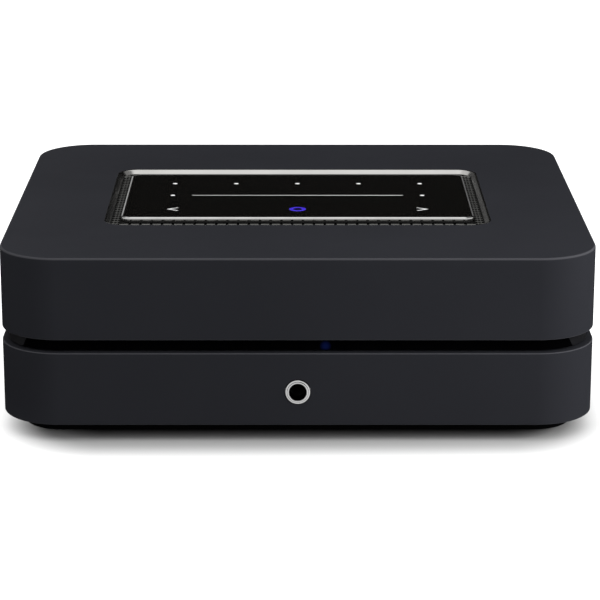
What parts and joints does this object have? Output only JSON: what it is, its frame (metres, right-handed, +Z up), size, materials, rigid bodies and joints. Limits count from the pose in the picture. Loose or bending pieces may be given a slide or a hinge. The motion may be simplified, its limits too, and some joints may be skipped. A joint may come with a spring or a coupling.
{
  "type": "streaming amplifier",
  "caption": "Compact desktop streaming amplifier: two stacked matt black rounded casings, dark waist, touch panel in a bevelled grille on top, headphone socket in front, rear terminals.",
  "frame": {"origin": "centre of the footprint of the whole part, at the level the feet stand on", "axes": "+Z up, front face towards -Y, +X to the right seen from the front"},
  "size_m": [0.22, 0.2056, 0.0703],
  "materials": {
    "casing": "fine matt black, soft to the touch",
    "tray": "moulded matt black",
    "rubber": "matt rubber",
    "frame": "moulded black",
    "band": "satin dark grey",
    "window": "glossy black window",
    "trim": "polished bevel",
    "grille": "dark perforated sheet",
    "carrier": "matt black",
    "bezel": "polished",
    "panel_glass": "back-printed black touch glass, opaque",
    "circuit_board": "solder resist",
    "ribbon": "polyimide film",
    "connector_body": "moulded black",
    "screw_steel": "zinc plated",
    "black_screw": "blackened steel",
    "status_lens": "blue light pipe",
    "dark_lens": "dark filter",
    "ferrite": "dark ferrite",
    "winding_tape": "yellow winding tape",
    "capacitor_sleeve": "shrink sleeve",
    "chip": "moulding compound",
    "heat_sink": "extruded, clear",
    "shield_can": "tinned steel",
    "chrome": "polished chrome",
    "contact_metal": "nickel plated",
    "rear_plate": "matt black",
    "terminal_plastic": "moulded black",
    "terminal_metal": "gold plated",
    "cap_red": "red",
    "cap_black": "black"
  },
  "bodies": {
    "casing": {"top_shell": "casing", "base_shell": "casing", "base_plate": "tray", "rubber_feet": "rubber", "waist_frame": "frame", "waist_band": "band", "waist_window": "window", "recess_trim": "trim", "vent_grille": "grille", "touch_carrier": "carrier", "touch_bezel": "bezel", "touch_glass": "panel_glass", "touch_sensor": "circuit_board", "touch_ribbon": "ribbon", "ribbon_socket": "connector_body", "main_board": "circuit_board", "power_board": "circuit_board", "board_screws": "screw_steel", "casing_screws": "black_screw", "front_board": "circuit_board", "status_light": "status_lens", "remote_receiver": "dark_lens", "transformer_core": "ferrite", "transformer_winding": "winding_tape", "bulk_capacitors": "capacitor_sleeve", "filter_choke": "ferrite", "amplifier_chips": "chip", "heat_sink": "heat_sink", "output_inductors": "ferrite", "processor_shield": "shield_can", "radio_module": "shield_can", "antennas": "circuit_board", "headphone_bushing": "chrome", "headphone_jack": "connector_body", "headphone_contacts": "contact_metal", "rear_panel": "rear_plate", "terminal_block": "terminal_plastic", "phono_sleeve": "contact_metal", "phono_core": "connector_body", "audio_socket": "connector_body", "remote_eye_socket": "connector_body", "media_socket": "shield_can", "tv_socket": "shield_can", "socket_tongues": "connector_body", "network_socket": "connector_body", "mains_inlet": "connector_body", "mains_pins": "contact_metal", "post_left_plus": "terminal_metal", "post_left_minus": "terminal_metal", "post_right_plus": "terminal_metal", "post_right_minus": "terminal_metal"},
    "left_plus_washer": {"washer_left_plus": "terminal_metal"},
    "left_plus_cap": {"cap_left_plus": "cap_red"},
    "left_minus_washer": {"washer_left_minus": "terminal_metal"},
    "left_minus_cap": {"cap_left_minus": "cap_black"},
    "right_plus_washer": {"washer_right_plus": "terminal_metal"},
    "right_plus_cap": {"cap_right_plus": "cap_red"},
    "right_minus_washer": {"washer_right_minus": "terminal_metal"},
    "right_minus_cap": {"cap_right_minus": "cap_black"}
  },
  "joints": [
    {"name": "left_plus_lift", "type": "slide", "parent": "casing", "child": "left_plus_washer", "axis": [0, 1, 0], "range_m": [0, 0.003]},
    {"name": "left_plus_turn", "type": "hinge", "parent": "left_plus_washer", "child": "left_plus_cap", "pos_m": [-0.07952, 0.0878, 0.02745], "axis": [0, 1, 0], "range_deg": [0, 1440]},
    {"name": "left_minus_lift", "type": "slide", "parent": "casing", "child": "left_minus_washer", "axis": [0, 1, 0], "range_m": [0, 0.003]},
    {"name": "left_minus_turn", "type": "hinge", "parent": "left_minus_washer", "child": "left_minus_cap", "pos_m": [-0.06048, 0.0878, 0.02745], "axis": [0, 1, 0], "range_deg": [0, 1440]},
    {"name": "right_plus_lift", "type": "slide", "parent": "casing", "child": "right_plus_washer", "axis": [0, 1, 0], "range_m": [0, 0.003]},
    {"name": "right_plus_turn", "type": "hinge", "parent": "right_plus_washer", "child": "right_plus_cap", "pos_m": [-0.07952, 0.0878, 0.01385], "axis": [0, 1, 0], "range_deg": [0, 1440]},
    {"name": "right_minus_lift", "type": "slide", "parent": "casing", "child": "right_minus_washer", "axis": [0, 1, 0], "range_m": [0, 0.003]},
    {"name": "right_minus_turn", "type": "hinge", "parent": "right_minus_washer", "child": "right_minus_cap", "pos_m": [-0.06048, 0.0878, 0.01385], "axis": [0, 1, 0], "range_deg": [0, 1440]}
  ],
  "couplings": [
    {"joint": "left_plus_turn", "follows": "left_plus_lift", "rad_per_m": 8377.6},
    {"joint": "left_minus_turn", "follows": "left_minus_lift", "rad_per_m": 8377.6},
    {"joint": "right_plus_turn", "follows": "right_plus_lift", "rad_per_m": 8377.6},
    {"joint": "right_minus_turn", "follows": "right_minus_lift", "rad_per_m": 8377.6}
  ]
}
